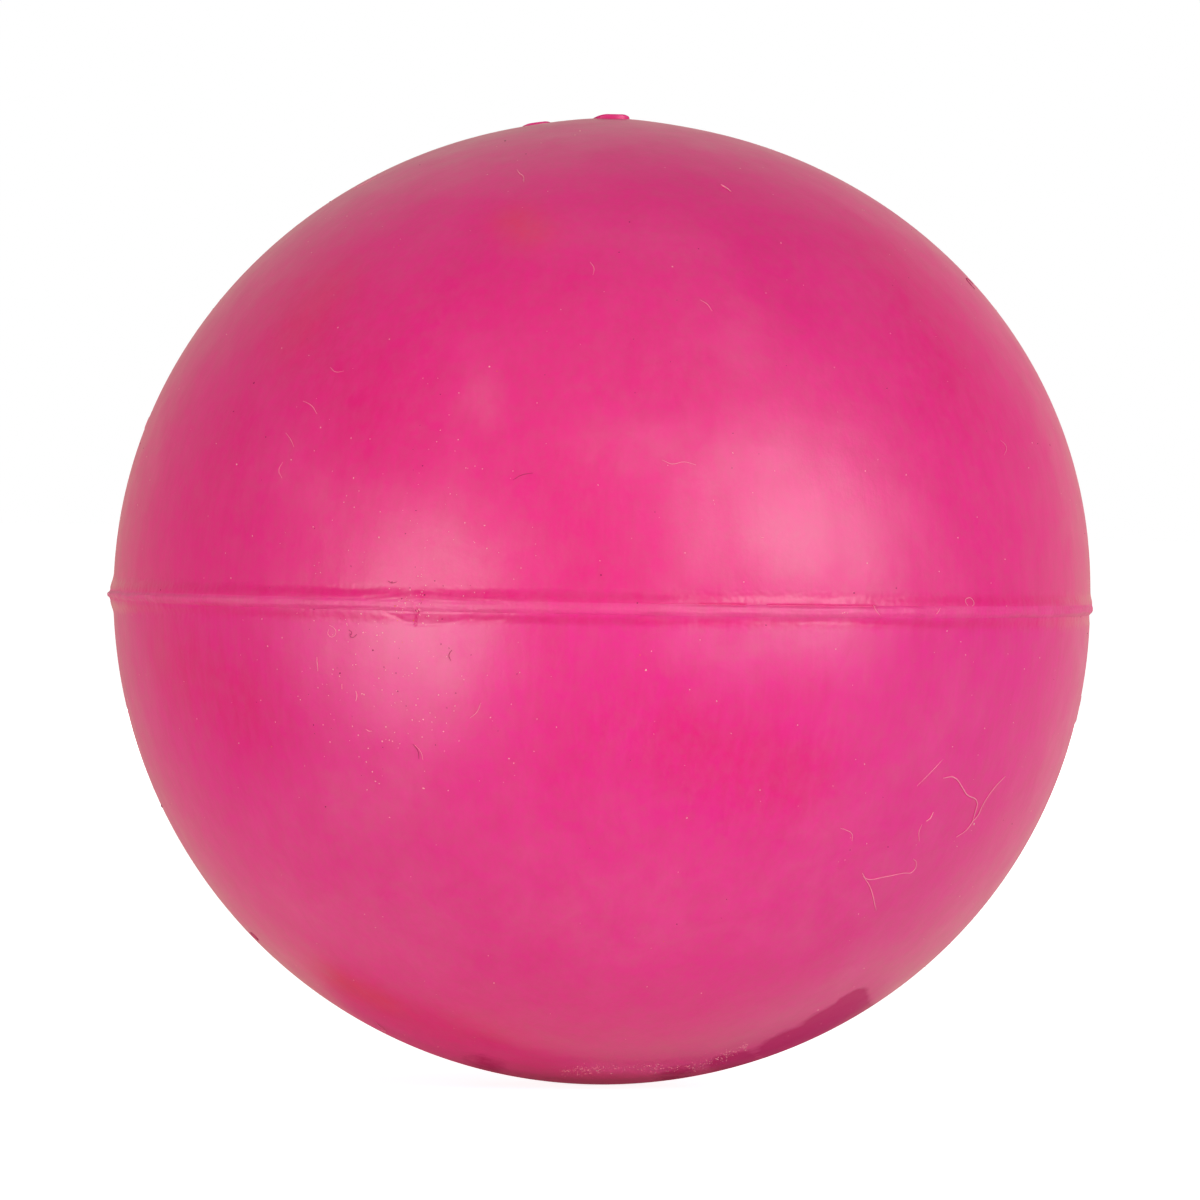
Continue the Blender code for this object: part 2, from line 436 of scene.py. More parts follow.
FLARE_WIDTH = {
    1: (
        (116, 0.90), (235, 0.84), (310, 0.68), (366, 0.60), (415, 0.80), (450, 0.68), (553, 0.88),
        (620, 0.84), (660, 0.70), (700, 0.60), (880, 0.55), (960, 0.76), (1085, 0.70), ("135", 0.85),
        ("180", 0.66), ("-135", 0.80),
    ),
    -1: (
        (116, 0.86), (200, 0.66), (300, 0.56), (390, 0.90), (470, 0.70), (553, 0.74), (640, 0.70),
        (700, 0.46), (760, 0.36), (880, 0.38), (930, 0.70), (1085, 0.60), ("135", 0.74), ("180", 0.85),
        ("-135", 0.60),
    ),
}
FLARE_SEED = {1: 11, -1: 12}


def rim_lift(azimuth, side):
    """How far the skin stands out at a rim, past the plain outline."""
    seed = FLARE_SEED[side]
    height = round_the_seam(azimuth, FLARE_HEIGHT[side]) + 0.012 * wavy(azimuth, 0.012, 0.003, seed)
    return MM * (height + 0.0025 * wavy(azimuth, 0.0015, 0.0005, seed + 10))


def flare(azimuth, from_rim, side):
    """How far the skin stands out at a distance from the rim."""
    width = round_the_seam(azimuth, FLARE_WIDTH[side]) + 0.04 * wavy(azimuth, 0.009, 0.003, 13 + side)
    share = np.clip(1 - from_rim / (MM * np.clip(width, 0.2, 0.95)), 0, 1)
    return rim_lift(azimuth, side) * (3 - 2 * share) * share**2


front = np.array([seam_place((553, 600))[0]])
print("flare at the front", round(float(rim_lift(front, 1)[0]) / MM, 3), "mm")

# %% [markdown]
# ## Creases and nicks
#
# At the left a fold runs over the ridge like an eyelid, with a crack through it, and thin dark
# lines follow the ridge where ring and rim came apart by a hair. Each is a line of pixels with a
# width and a depth. Corners near the line are pushed in, and a negative depth raises a burr.

# %% Creases
CREASES = (  # line of pixels, width and depth in millimetres
    (((366, 597.5), (388, 596), (403, 592.5), (417, 590.5), (434, 592.5), (460, 595.5), (524, 597.5)),
     0.120, 0.034),
    (((372, 601.4), (403, 598), (420, 596.2), (446, 598.2), (500, 601)), 0.060, 0.020),
    (((386, 612), (396, 616.5), (405, 621), (418, 625), (432, 624.5), (452, 622), (470, 618)),
     0.130, 0.026),
    (((470, 618.5), (486, 620.5), (503, 618.5)), 0.160, 0.040),
    (((418.5, 608), (419.5, 613), (416.5, 619), (415, 625.5)), 0.045, 0.080),
    (((415, 604), (416, 611), (418, 617)), 0.040, -0.035),
    (((402, 607), (410, 610.5), (424, 611)), 0.040, -0.030),
    (((426, 601.8), (470, 602.6), (529, 604)), 0.050, 0.022),
    (((700, 604.9), (745, 605.3)), 0.065, 0.070),
    (((768, 605.7), (796, 605.9), (835, 606.4), (875, 606.9)), 0.065, 0.078),
    (((640, 603.8), (700, 604.8)), 0.050, 0.030),
    (((640, 617.5), (700, 618.3), (760, 619), (820, 619.5), (880, 620.2)), 0.170, 0.050),
    (((390, 613.0), (430, 613.8), (473, 614.0)), 0.055, -0.015),
    (((556, 612), (600, 613.2), (646, 614)), 0.055, -0.022),
    (((640, 611.5), (700, 612.5), (760, 612.8)), 0.060, -0.025),
    (((141, 595), (171, 596.2), (225, 597.8), (243, 598.4)), 0.050, -0.030),
    (((150, 600.5), (171, 602), (243, 604.2), (290, 605)), 0.050, -0.030),
    (((330, 607.5), (352, 608), (380, 607.6)), 0.050, 0.035),
)
CREASES_BEHIND = 26
BEHIND = (math.radians(95), math.radians(265))
LENGTHS_BEHIND = (0.0015, 0.0065)
DEPTHS_BEHIND = (-0.03, 0.09)  # in millimetres, as in the table


def unrolled(azimuth, height):
    """Places near the seam laid flat, in metres along it and up."""
    return np.stack([np.asarray(azimuth) * SEAM_RADIUS, np.asarray(height)], axis=-1)


def distance_to_line(places, line):
    """How far each place lies from a line of points."""
    nearest = np.full(len(places), 1.0)
    for start, end in zip(line, line[1:]):
        along = end - start
        share = np.clip((places - start) @ along / (along @ along), 0, 1)
        gap = np.linalg.norm(places - start - share[:, None] * along, axis=1)
        nearest = np.minimum(nearest, gap)
    return nearest


def crease_lines():
    """Every crease as (line, width, depth), with more of their kind behind the ball."""
    lines = []
    for pixels, width, depth in CREASES:
        line = np.array([unrolled(*seam_place(pixel)) for pixel in pixels])
        lines.append((line, width * MM, depth * MM))
    luck = np.random.RandomState(31)
    for _ in range(CREASES_BEHIND):
        start = luck.uniform(*BEHIND)
        length = luck.uniform(*LENGTHS_BEHIND) / SEAM_RADIUS
        edge = luck.choice([-1, 1]) * RIM_HEIGHT
        steps = (np.linspace(start, start + length, 5) + math.pi) % math.tau - math.pi
        if steps.max() - steps.min() > math.pi:
            continue
        heights = edge + luck.normal(0, 0.05, 5) * MM
        lines.append((unrolled(steps, heights), 0.060 * MM, luck.uniform(*DEPTHS_BEHIND) * MM))
    return lines


crease_list = crease_lines()


def crease_depth(azimuth, height):
    """How far the creases push the skin in."""
    places = unrolled(azimuth, height)
    depth = np.zeros(len(places))
    for line, width, deepest in crease_list:
        reach = 3 * width
        low, high = line.min(axis=0) - reach, line.max(axis=0) + reach
        near = np.all((places > low) & (places < high), axis=1)
        depth[near] += deepest * bell(distance_to_line(places[near], line), width)
    return depth


print(len(crease_list), "creases")

# %% [markdown]
# ## Shaping the band beside each rim
#
# Operators can't give a slope that changes with every millimetre round the ball, so the corners
# of the finely cut band are moved in code, straight out from the axis. The rim's inner edge and
# the dome stay where the outline put them.

# %% Shape the bands
SKIN_DEPTH = 0.5 * MM  # corners deeper than this under the seam's radius are inside
BAND_FADE = 0.2 * BAND  # creases and lumps end softly over this height
BAND_LUMPS = (0.010 * MM, 0.25 * MM)  # height and size


def azimuth_of(places):
    return np.arctan2(places[:, 0], -places[:, 1])


def shape_band(shell, side):
    """Gives the band its flare and creases, and the whole shell its sway."""
    places = corners(shell)
    distance = np.hypot(places[:, 0], places[:, 1])
    from_rim = side * places[:, 2] - RIM_HEIGHT
    on_band = (from_rim < BAND) & (distance > SEAM_RADIUS - SKIN_DEPTH)
    near = places[on_band]
    azimuth = azimuth_of(near)
    fade = np.clip((BAND - from_rim[on_band]) / BAND_FADE, 0, 1)
    out = flare(azimuth, from_rim[on_band], side) - crease_depth(azimuth, near[:, 2]) * fade
    out += BAND_LUMPS[0] * lumpy(near, BAND_LUMPS[1]) * fade
    places[on_band, :2] *= ((distance[on_band] + out) / distance[on_band])[:, None]
    places[:, 0] += sway(places[:, 2])
    place_corners(shell, places)
    smooth_but_sharp_at_rims(shell)
    print(shell.name, "band stands out up to", round(float(out.max()) / MM, 3), "mm")


shape_band(upper_shell, 1)
shape_band(lower_shell, -1)

# %% [markdown]
# ## The bonding ring
#
# The strip of raw rubber between the halves is a ring. Outside, its squeezed-out edge is the
# ridge: sharp and high at the left, low and flat at the front and right. It is turned with 3072
# steps, so that its torn edge can change every 0.06 mm. Its flat faces meet both rims exactly.

# %% Bonding ring
RING_STEPS = 3072
RING_BEAD = 0.0004
LEAST_RIDGE = 0.02 * MM
CHANNEL_DEPTH = 0.025 * MM  # of the faint groove along the ridge
CHANNEL_WIDTH = 0.16  # as a share of half the ring's thickness
RING_LUMPS = (0.020 * MM, 0.16 * MM)
CREST_HEIGHT = (
    (113, 0.385), (170, 0.31), (243, 0.28), (310, 0.27), (400, 0.28), (553, 0.30), (640, 0.28),
    (760, 0.23), (880, 0.23), (1000, 0.22), (1090, 0.17), ("120", 0.29), ("150", 0.22),
    ("180", 0.28), ("-150", 0.24), ("-120", 0.31),
)
CREST_WIDTH = (  # half width of the ridge's top, as a share of half the ring's thickness
    (113, 0.40), (170, 0.56), (243, 0.68), (310, 0.76), (553, 0.84), (640, 0.84), (760, 0.92),
    (880, 0.92), (1000, 0.80), (1090, 0.60), ("120", 0.90), ("150", 0.7), ("180", 0.95), ("-135", 0.6),
)
CREST_RISE = (  # how far the middle of the ridge lies above the seam, as a share again
    (113, 0.0), (243, 0.10), (400, 0.16), (553, 0.20), (640, 0.18), (720, 0.02), (1090, 0.0),
    ("180", 0.0),
)
half_ring = (1.0, 0.94, 0.86, 0.74, 0.58, 0.40, 0.2)
across_ring = (*half_ring, 0.0, *(-share for share in reversed(half_ring)))
ring_outline = [(SEAM_RADIUS, RIM_HEIGHT * share) for share in across_ring]
ring_outline += [
    (SEAM_RADIUS - WALL - RING_BEAD * math.cos(angle), RIM_HEIGHT * math.sin(angle))
    for angle in (-math.pi / 2, -math.pi / 4, 0.0, math.pi / 4, math.pi / 2)
]
seam_ring = turned("seam_ring", ring_outline, RING_STEPS, closed=True)

places = corners(seam_ring)
distance = np.hypot(places[:, 0], places[:, 1])
outside = distance > SEAM_RADIUS - SKIN_DEPTH
near = places[outside]
azimuth = azimuth_of(near)
share = near[:, 2] / RIM_HEIGHT
foot = (1 + share) / 2 * rim_lift(azimuth, 1) + (1 - share) / 2 * rim_lift(azimuth, -1)
crest = MM * (round_the_seam(azimuth, CREST_HEIGHT) + 0.014 * wavy(azimuth, 0.015, 0.002, 41))
crest_width = round_the_seam(azimuth, CREST_WIDTH) + 0.05 * wavy(azimuth, 0.006, 0.0015, 42)
centre_line = round_the_seam(azimuth, CREST_RISE) + 0.08 * wavy(azimuth, 0.03, 0.004, 43)
shape = 1 / (1 + (np.abs(share - centre_line * (1 - share**2)) / crest_width) ** 4)
edge_shape = 1 / (1 + (1 / crest_width) ** 4)
shape = np.clip((shape - edge_shape * share**2), 0, 1)
above_channel = share - 0.1 - 0.25 * wavy(azimuth, 0.02, 0.003, 44)
channel = CHANNEL_DEPTH * bell(above_channel, CHANNEL_WIDTH)
out = foot + np.maximum(crest - foot, LEAST_RIDGE) * shape - channel * (1 - share**2)
out += RING_LUMPS[0] * lumpy(near, RING_LUMPS[1]) * (1 - share**8)
out -= crease_depth(azimuth, near[:, 2])
places[outside, :2] *= ((SEAM_RADIUS + out) / SEAM_RADIUS)[:, None]
places[:, 0] += sway(places[:, 2])
place_corners(seam_ring, places)
smooth_but_sharp_at_rims(seam_ring)
show_count(seam_ring)
print("ridge stands", round(float(out.min()) / MM, 2), "to", round(float(out.max()) / MM, 2), "mm out")

# %% [markdown]
# ## The pads on the crown
#
# Two small raised marks break the skyline near the top. Plain oval pads stand there, like the
# ones that a mould leaves where its number is ground off. Each is a cylinder drawn out to an
# oval, with a rounded top edge, and falls to nothing at its left end, where the mould was worn.

# %% Crown pads
PAD_LENGTH = 0.0023
PAD_WIDTH = 0.0014
PAD_HEIGHT = 0.00025
PAD_SUNK = 0.00050  # how deep its underside lies in the skin
PAD_TAPER = 0.0010  # how long its worn left end is
PAD_WORN = PAD_HEIGHT + 0.00006  # how much is worn off there
PAD_SHOULDER = 0.00045  # how long its round right end is
PAD_SHOULDER_FALL = 0.55 * PAD_HEIGHT
PAD_INSETS = (0.00025, 0.00020)  # rings of faces that let the top bend
PAD_EDGE = 0.00011
PAD_PLACES = ((0.00005, -0.0006), (-0.00466, 0.0026))


def crown_pad(number, place):
    """An oval pad that stands square to the upper skin at an (x, y) place."""
    bpy.ops.mesh.primitive_cylinder_add(vertices=96, radius=0.5, depth=PAD_HEIGHT + PAD_SUNK)
    pad = bpy.context.object
    pad.name = f"crown_pad_{number}"
    pad.scale = (PAD_LENGTH, PAD_WIDTH, 1.0)
    bpy.ops.object.transform_apply(scale=True)
    bpy.ops.object.mode_set(mode="EDIT")
    bpy.ops.mesh.select_all(action="DESELECT")
    bpy.ops.object.mode_set(mode="OBJECT")
    for face in pad.data.polygons:
        face.select = face.normal.z > 0.9
    bpy.ops.object.mode_set(mode="EDIT")
    bpy.ops.mesh.select_mode(type="FACE")
    for inset in PAD_INSETS:
        bpy.ops.mesh.inset(thickness=inset, depth=0)
    bpy.ops.mesh.select_mode(type="VERT")
    bpy.ops.object.mode_set(mode="OBJECT")
    places = corners(pad)
    top = places[:, 2] > 0
    from_left = np.clip((places[:, 0] + PAD_LENGTH / 2) / PAD_TAPER, 0, 1)
    from_right = np.clip((PAD_LENGTH / 2 - places[:, 0]) / PAD_SHOULDER, 0, 1)
    places[top, 2] -= PAD_WORN * (1 - from_left[top]) ** 2
    places[top, 2] -= PAD_SHOULDER_FALL * (1 - from_right[top]) ** 2
    place_corners(pad, places)
    bpy.ops.object.modifier_add(type="BEVEL")
    rounding = pad.modifiers[0]
    rounding.width = PAD_EDGE
    rounding.segments = 4
    rounding.angle_limit = math.radians(40)
    bpy.ops.object.modifier_apply(modifier=rounding.name)
    bpy.ops.object.shade_smooth_by_angle(angle=math.radians(50))
    foot = skin_point(Vector((*place, math.sqrt(UPPER_RISE**2 - math.hypot(*place) ** 2))))
    lean = Vector((0, 0, 1)).rotation_difference(foot.normalized())
    middle = foot + foot.normalized() * (PAD_HEIGHT - PAD_SUNK) / 2
    pad.matrix_world = Matrix.Translation(middle) @ lean.to_matrix().to_4x4()
    bpy.ops.object.transform_apply(location=True, rotation=True)
    return pad


pads = [crown_pad(number, place) for number, place in enumerate(PAD_PLACES, start=1)]
for pad in pads:
    show_count(pad)

# %% [markdown]
# ## Dust and lint
#
# Rubber is tacky and holds dust. The photograph shows cream and dark specks, and short curled
# fibres of lint. A speck is one small lumpy grain, modelled once and copied. Known specks stand
# at their pixels, and the rest are strewn over the whole ball so that no side looks cleaner.

# %% Specks of dust
GRAIN_LUMPS = (0.75, 1.15)
GRAIN_HEIGHT = 0.6  # as a share of its length
NARROWEST_GRAIN = 0.55

finished = [
    BVHTree.FromObject(piece, bpy.context.evaluated_depsgraph_get())
    for piece in (upper_shell, lower_shell, seam_ring)
]


def lying(point):
    """The place on the finished skin or ridge that lies straight outwards of a point."""
    inwards = -point.normalized()
    start = point - inwards * 1.0 * MM
    hits = [tree.ray_cast(start, inwards, 3.0 * MM) for tree in finished]
    depths = [hit[3] for hit in hits if hit[0] is not None]
    return start + inwards * min(depths) if depths else point


def grain_of_dust():
    """One lumpy grain, 1 m across, to be copied at its real size."""
    bpy.ops.mesh.primitive_ico_sphere_add(subdivisions=1, radius=0.5)
    grain = bpy.context.object
    places = corners(grain)
    luck = np.random.RandomState(51)
    places *= luck.uniform(*GRAIN_LUMPS, (len(places), 1))
    places[:, 2] *= GRAIN_HEIGHT
    place_corners(grain, places)
    return grain


def copies_on_skin(name, pattern, points, sizes, seed):
    """Copies of a pattern at points on the skin, each turned its own way, as one piece."""
    luck = np.random.RandomState(seed)
    copies = []
    for point, size in zip(map(lying, points), sizes):
        copy = pattern.copy()
        copy.data = pattern.data.copy()
        bpy.context.scene.collection.objects.link(copy)
        lean = Vector((0, 0, 1)).rotation_difference(point.normalized()).to_matrix().to_4x4()
        turn = Matrix.Rotation(luck.uniform(0, math.tau), 4, "Z")
        shape = Matrix.Diagonal((size, size * luck.uniform(NARROWEST_GRAIN, 1.0), size, 1.0))
        copy.matrix_world = Matrix.Translation(point) @ lean @ turn @ shape
        copies.append(copy)
    select_only(copies)
    bpy.ops.object.transform_apply(location=True, rotation=True, scale=True)
    bpy.ops.object.join()
    piece = bpy.context.object
    piece.name = name
    return piece


CROWN = 0.8 * UPPER_RISE
PAD_CLEARANCE = 0.009  # from the pole's axis
RIDGE_CLEARANCE = 0.0012
LOWEST_DUST = -0.97 * LOWER_RISE


def strewn(count, seed):
    """Points strewn evenly over the skin, away from the pads, the seam's ridge and the lowest point."""
    luck = np.random.RandomState(seed)
    points = []
    while len(points) < count:
        direction = Vector(luck.normal(size=3)).normalized()
        point = skin_point(direction)
        over_pads = point.z > CROWN and math.hypot(point.x, point.y) < PAD_CLEARANCE
        if abs(point.z) > RIDGE_CLEARANCE and not over_pads and point.z > LOWEST_DUST:
            points.append(point)
    return points


def dust_line(start, end, spread, count, seed):
    """Points of dust along a line between two pixels."""
    luck = np.random.RandomState(seed)
    start, along = np.array(start), np.subtract(end, start)
    shares = luck.uniform(0, 1, (count, 1))
    return [on_skin(place) for place in start + along * shares + luck.normal(0, spread, (count, 2))]


def settled(pixel, spread, count, seed):
    """Points of dust settled thickly round a pixel, most within spread pixels of it."""
    luck = np.random.RandomState(seed)
    return [on_skin(place) for place in luck.normal(pixel, spread, (count, 2))]


CREAM_SPECKS = (  # pixel across and down, and size in millimetres
    (418, 576, 0.11), (407, 603, 0.12), (416, 623, 0.10), (521, 568, 0.09), (464, 596, 0.09),
    (991, 583, 0.09), (1004, 606, 0.09), (947, 631, 0.11), (231, 578, 0.12), (132, 615, 0.08),
    (262, 619, 0.11), (339, 630, 0.12), (974, 824, 0.20), (580, 131, 0.16), (575, 135, 0.10),
    (541, 143, 0.10), (841, 613, 0.12), (843, 612.4, 0.10), (846, 613, 0.09), (1070, 500, 0.10),
    (417, 668, 0.12), (416, 705, 0.11), (377, 641, 0.10), (412, 641, 0.09), (475, 466, 0.08),
    (513, 471, 0.08), (370, 439, 0.08), (455, 451, 0.07), (359, 491, 0.08), (685, 553, 0.09),
    (1022, 767, 0.09), (978, 755, 0.08), (833, 786, 0.08), (973, 904, 0.08), (332, 674, 0.08),
    (422, 737, 0.09), (432, 730, 0.08), (454, 711, 0.08), (459, 741, 0.09), (537, 719, 0.08),
    (646, 670, 0.15), (760, 790, 0.09), (494, 983, 0.13), (818, 1010, 0.15), (845, 860, 0.09),
    (520, 174, 0.10), (523, 180, 0.08), (330, 742, 0.11), (382, 690, 0.09), (455, 706, 0.09),
    (700, 640, 0.09), (1010, 300, 0.11), (905, 250, 0.10), (220, 300, 0.10), (150, 480, 0.11),
)
DARK_SPECKS = (
    (601, 575, 0.12), (637, 603, 0.10), (766, 625, 0.09), (854, 593, 0.11), (1081, 617, 0.10),
    (163, 590, 0.10), (505, 141, 0.14), (526, 154, 0.10), (392, 582, 0.10), (254, 383, 0.15),
    (162, 806, 0.28), (423, 603, 0.08), (449, 648, 0.09), (471, 655, 0.09), (350, 634, 0.10),
    (340, 673, 0.13), (396, 673, 0.10), (517, 674, 0.09), (384, 667, 0.08), (498, 731, 0.08),
    (351, 566, 0.09), (443, 586, 0.09), (759, 454, 0.08), (732, 468, 0.08), (655, 512, 0.08),
    (1012, 824, 0.09), (888, 847, 0.09), (850, 850, 0.08),
)
ORANGE_SPECKS = (
    (397, 606, 0.11), (424, 600, 0.08), (405, 613, 0.07), (640, 655, 0.08),
)
CREAM_LINES = (  # two pixels, how far the dust spreads from the line between them, count and seed
    ((600, 1069), (700, 1067), 2.2, 110, 63), ((700, 1067), (748, 1045), 2.2, 110, 63),
    ((560, 1072), (600, 1069), 2.2, 110, 63), ((424, 572), (420, 640), 2.5, 18, 64),
)
DUST_PATCHES = (  # middle, spread in pixels, and what part of the strewn specks lies there
    ((400, 680), 60, 6), ((420, 510), 70, 12),
)
SPECK_SIZES = (0.055 * MM, 0.13 * MM)

grain = grain_of_dust()
specks = []
for name, known, count, seed in (
    ("cream_specks", CREAM_SPECKS, 720, 61),
    ("dark_specks", DARK_SPECKS, 130, 62),
    ("orange_specks", ORANGE_SPECKS, 14, 63),
):
    luck = np.random.RandomState(seed + 10)
    points = [on_skin(speck[:2]) for speck in known]
    for number, (middle, spread, part) in enumerate(DUST_PATCHES):
        points += settled(middle, spread, count // part, seed + number)
    points += strewn(count + len(known) - len(points), seed)
    if known is CREAM_SPECKS:
        for line in CREAM_LINES:
            points += dust_line(*line)
    points += settled((410, 607), 11, 4 + count // 60, seed + 4)
    shares = luck.uniform(0, 1, len(points) - len(known)) ** 2.0
    sizes = [speck[2] * MM for speck in known]
    sizes += list(SPECK_SIZES[0] + (SPECK_SIZES[1] - SPECK_SIZES[0]) * shares)
    specks.append(copies_on_skin(name, grain, points, sizes, seed + 20))
    show_count(specks[-1])
bpy.data.objects.remove(grain)

# %% [markdown]
# ## Lint fibres
#
# Each fibre is a smooth curve through a few pixels, given a round section and turned into a
# mesh. It lies on the skin along its whole length, so it is seen to cling from any side.

# %% Lint fibres
FIBRES = (  # thickness in millimetres, then the pixels that the fibre passes
    (0.072, ((943, 778), (953, 777), (963, 789), (966, 794), (977, 803), (975, 811), (972, 822))),
    (0.065, ((1005, 776), (993, 789), (983, 804), (977, 816), (972, 822), (967, 829), (956, 837))),
    (0.035, ((943, 759), (931, 772), (917, 786))),
    (0.080, ((933, 812), (930, 818), (926, 821))),
    (0.048, ((922, 824), (919, 831), (919, 841))),
    (0.040, ((840, 828), (846, 830), (852, 834), (852, 841))),
    (0.055, ((862, 873), (867, 879), (883, 877), (903, 873), (913, 871), (916, 862), (913, 859))),
    (0.058, ((863, 876), (870, 887), (875, 906), (876, 910))),
    (0.085, ((721, 185), (726, 188), (731, 192))),
    (0.045, ((873, 605), (873.5, 609), (875, 612), (878, 615))),
    (0.040, ((966, 606), (964, 601), (967, 598), (971, 599), (972, 604), (970, 606))),
    (0.045, ((934, 614), (936, 611), (938, 608))),
    (0.030, ((329, 625), (334, 628), (336, 632), (332, 637), (328, 634), (329, 629))),
    (0.050, ((317, 657), (317.5, 664), (318, 671))),
    (0.060, ((356, 691), (357, 696), (356, 701))),
    (0.050, ((342, 684), (342, 689))),
    (0.050, ((366, 729), (369, 731), (372, 731))),
    (0.040, ((662, 460), (672, 464), (684, 462), (696, 465))),
    (0.055, ((517, 170), (520, 174), (523, 176), (524, 182))),
    (0.055, ((760, 537), (764, 538))),
    (0.035, ((286, 433), (291, 440), (294, 447))),
    (0.035, ((303, 401), (312, 406), (317, 414))),
    (0.032, ((283, 462), (279, 470), (282, 478))),
    (0.032, ((330, 367), (336, 372), (344, 371))),
    (0.038, ((470, 718), (477, 712), (481, 703))),
    (0.035, ((415, 745), (421, 752), (423, 760))),
    (0.035, ((1000, 440), (1006, 447), (1004, 455))),
    (0.035, ((700, 300), (707, 304), (712, 311))),
    (0.032, ((590, 262), (594, 268), (593, 275))),
)
DARK_FIBRES = (
    (0.035, ((349, 630), (352, 633), (350, 636), (354, 637), (357, 634))),
    (0.045, ((388, 581), (392, 583), (397, 582))),
    (0.040, ((513, 480), (522, 475), (533, 473))),
    (0.045, ((413, 744), (418, 751), (419, 759))),
    (0.040, ((452, 650), (449, 655), (451, 661))),
)
STREWN_FIBRES = 46
STREWN_DARK_FIBRES = 8
FIBRE_KNOTS = 7
FIBRE_STEP = (0.008, 0.016)  # from knot to knot, as a share of the ball's radius
FIRST_BEND, MORE_BEND, BEND_SHARE = 0.7, 0.6, 0.35
FIBRE_END = 0.6  # how thin a fibre is at its ends
FIBRE_LIFT = 0.35  # how much of its thickness its middle lies above the skin


def curled_fibre(seed):
    """A short curl of lint somewhere on the back and sides, as points on the skin."""
    luck = np.random.RandomState(seed)
    while True:
        start = Vector(luck.normal(size=3)).normalized()
        if start.y > -0.15 and 0.06 < abs(start.z) < 0.9:
            break
    heading = start.cross(Vector(luck.normal(size=3))).normalized()
    points, bend = [], luck.normal(0, FIRST_BEND)
    for _ in range(FIBRE_KNOTS):
        points.append(skin_point(start))
        bend += luck.normal(0, MORE_BEND)
        heading = (Matrix.Rotation(bend * BEND_SHARE, 3, start) @ heading).normalized()
        start = (start + heading * luck.uniform(*FIBRE_STEP)).normalized()
        heading = (heading - start * heading.dot(start)).normalized()
    return points


def fibre(thickness, points):
    """One fibre as a mesh tube through points, sunk a little into its own foot."""
    curve = bpy.data.curves.new("fibre", "CURVE")
    curve.dimensions = "3D"
    curve.bevel_depth = thickness / 2
    curve.bevel_resolution = 1
    curve.resolution_u = 5
    curve.use_fill_caps = True
    spline = curve.splines.new("BEZIER")
    spline.bezier_points.add(len(points) - 1)
    for knot, point in zip(spline.bezier_points, map(lying, points)):
        knot.co = point + point.normalized() * thickness * FIBRE_LIFT
        knot.handle_left_type = knot.handle_right_type = "AUTO"
    spline.bezier_points[0].radius = spline.bezier_points[-1].radius = FIBRE_END
    piece = bpy.data.objects.new("fibre", curve)
    bpy.context.scene.collection.objects.link(piece)
    return piece


def fibre_piece(name, known, strewn_thickness, strewn_count, seed):
    """One piece of the fibres at known pixels and of curls strewn where the camera sees none."""
    fibres = [fibre(thick * MM, [on_skin(pixel) for pixel in line]) for thick, line in known]
    fibres += [fibre(strewn_thickness, curled_fibre(seed + number)) for number in range(strewn_count)]
    select_only(fibres)
    bpy.ops.object.convert(target="MESH")
    bpy.ops.object.join()
    piece = bpy.context.object
    piece.name = name
    bpy.ops.object.shade_smooth()
    show_count(piece)
    return piece


lint = fibre_piece("lint_fibres", FIBRES, 0.040 * MM, STREWN_FIBRES, 100)
dark_lint = fibre_piece("dark_lint_fibres", DARK_FIBRES, 0.045 * MM, STREWN_DARK_FIBRES, 300)

# %% [markdown]
# ## Where the skin is dusty, clean or tinted, and where light and shade are painted
#
# Handling leaves pale smears of bloom, the chalky film that rubber sweats out, and wipes other
# places clean. These have no outline worth a mesh, so they are painted on the corners: red for
# bloom, and for painted highlight in the cores of the two highlights and along the ridge's crest;
# green for clean deep pink, which also serves as painted shade; blue for a warm orange tint; and
# alpha for painted shade, the dark band along the bottom rim where the shadowed table is mirrored.
# The hollows beside the ridge are painted deep pink as painted shade, where their slopes turn from
# the lamps, and the underside is paler, because it picks up dust from the ground. The material
# reads all four.

# %% Painted marks
# Bloom, and painted highlight: the strongest marks lie in the cores of the two highlights, and a thin
# one is a pale strip above the seam at the right.
BLOOM_AND_HIGHLIGHT_MARKS = (  # ends of the smear in pixels, half width in millimetres, strength
    ((400, 622), (468, 630), 2.4, 0.95), ((430, 640), (446, 664), 2.0, 0.90),
    ((440, 540), (475, 565), 2.8, 0.72), ((390, 520), (420, 540), 2.4, 0.38),
    ((420, 660), (450, 720), 2.2, 0.35), ((370, 640), (385, 720), 2.4, 0.20),
    ((478, 392), (484, 402), 1.4, 0.50), ((470, 345), (478, 380), 1.2, 0.22),
    ((330, 500), (400, 505), 2.0, 0.22), ((285, 470), (320, 500), 1.8, 0.20),
    ((590, 450), (690, 450), 2.0, 0.30), ((700, 480), (712, 570), 1.9, 0.52),
    ((735, 470), (775, 450), 2.6, 0.42), ((770, 540), (795, 550), 2.5, 1.00),
    ((860, 545), (880, 565), 2.6, 0.50), ((840, 470), (850, 440), 2.0, 0.30),
    ((730, 350), (790, 380), 2.6, 0.20), ((690, 597), (885, 600), 0.7, 0.40),
    ((690, 622), (840, 634), 2.6, 0.58), ((290, 612), (320, 640), 2.2, 0.26),
    ((900, 500), (950, 600), 2.0, 0.24), ((280, 810), (400, 800), 3.5, 0.26),
    ((860, 800), (960, 720), 4.0, 0.26), ((830, 880), (900, 850), 3.5, 0.26),
    ((300, 900), (440, 910), 3.5, 0.26), ((740, 1040), (860, 970), 2.4, 0.45),
    ((560, 230), (680, 240), 3.0, 0.20), ((600, 1068), (700, 1068), 1.2, 0.9),
    ((700, 1068), (745, 1045), 1.0, 0.7),
)
